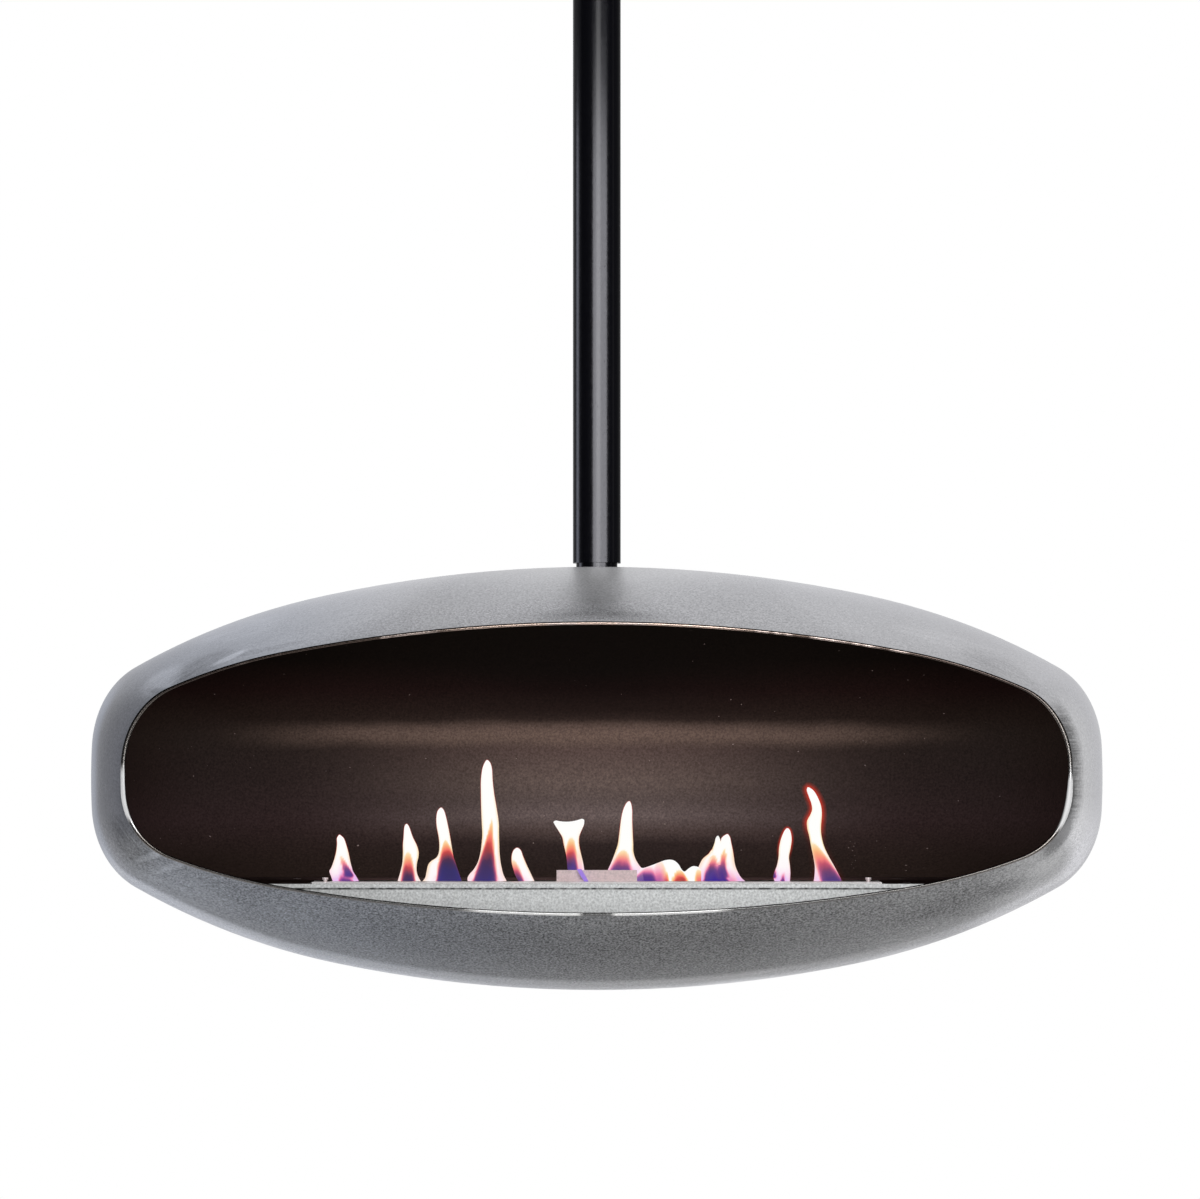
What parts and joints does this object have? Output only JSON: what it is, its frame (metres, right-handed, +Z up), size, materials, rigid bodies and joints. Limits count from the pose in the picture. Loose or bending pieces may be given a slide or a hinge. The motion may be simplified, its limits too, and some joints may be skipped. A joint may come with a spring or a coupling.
{
  "type": "hanging fireplace",
  "caption": "Hanging fireplace: an oval steel body open at the front with a slotted burner and sliding lid, swivelling at the end of a ceiling pole.",
  "frame": {"origin": "centre of the ceiling plate's top face, where it meets the ceiling", "axes": "+Z up into the ceiling along the pole, +X to the right of someone who looks into the opening, -Y out of the opening towards that person"},
  "size_m": [1.2, 0.6, 1.5253],
  "materials": {
    "body_steel": "fine satin-brushed stainless steel with blended weld",
    "dark_coat": "heat-darkened matt coat",
    "black_coat": "satin black powder coat",
    "burner_steel": "bead-blasted stainless steel sheet",
    "lid_steel": "brushed stainless steel sheet",
    "fixing_steel": "turned bright steel",
    "bronze": "plain bearing bronze",
    "black_ring": "black low-friction polymer",
    "ceramic_wool": "white ceramic fibre"
  },
  "bodies": {
    "mast": {"ceiling_plate": "fixing_steel", "pole_spigot": "fixing_steel", "pole_lock_screws": "fixing_steel", "pole": "black_coat", "pole_end_plug": "fixing_steel", "swivel_stem": "fixing_steel", "thrust_ring": "black_ring", "nut_washer": "fixing_steel", "castle_nut": "fixing_steel", "split_pin": "fixing_steel"},
    "cover": {"ceiling_cover": "black_coat", "cover_friction_ring": "black_ring"},
    "firebox": {"upper_shell": "body_steel", "lower_shell": "body_steel", "pivot_boss": "fixing_steel", "pivot_bush": "bronze", "nut_cover": "dark_coat", "nut_cover_screws": "fixing_steel", "burner_shelf": "burner_steel", "front_skirt": "burner_steel", "burner_ledges": "burner_steel", "shelf_brackets": "burner_steel", "shelf_screws": "fixing_steel"},
    "burner": {"burner_top": "burner_steel", "burner_tank": "burner_steel", "wick_pad": "ceramic_wool"},
    "lid": {"burner_lid": "lid_steel", "lid_tab": "lid_steel", "guide_pins": "fixing_steel", "guide_pin_nuts": "fixing_steel"}
  },
  "joints": [
    {"name": "swivel", "type": "hinge", "parent": "mast", "child": "firebox", "pos_m": [0, 0, -1.0115], "axis": [0, 0, 1], "continuous": true},
    {"name": "cover_slide", "type": "slide", "parent": "mast", "child": "cover", "axis": [0, 0, -1], "range_m": [0, 0.3]},
    {"name": "burner_lift", "type": "slide", "parent": "firebox", "child": "burner", "axis": [0, 0, 1], "range_m": [0, 0.12]},
    {"name": "lid_slide", "type": "slide", "parent": "burner", "child": "lid", "axis": [0, 1, 0], "range_m": [0, 0.046]}
  ]
}
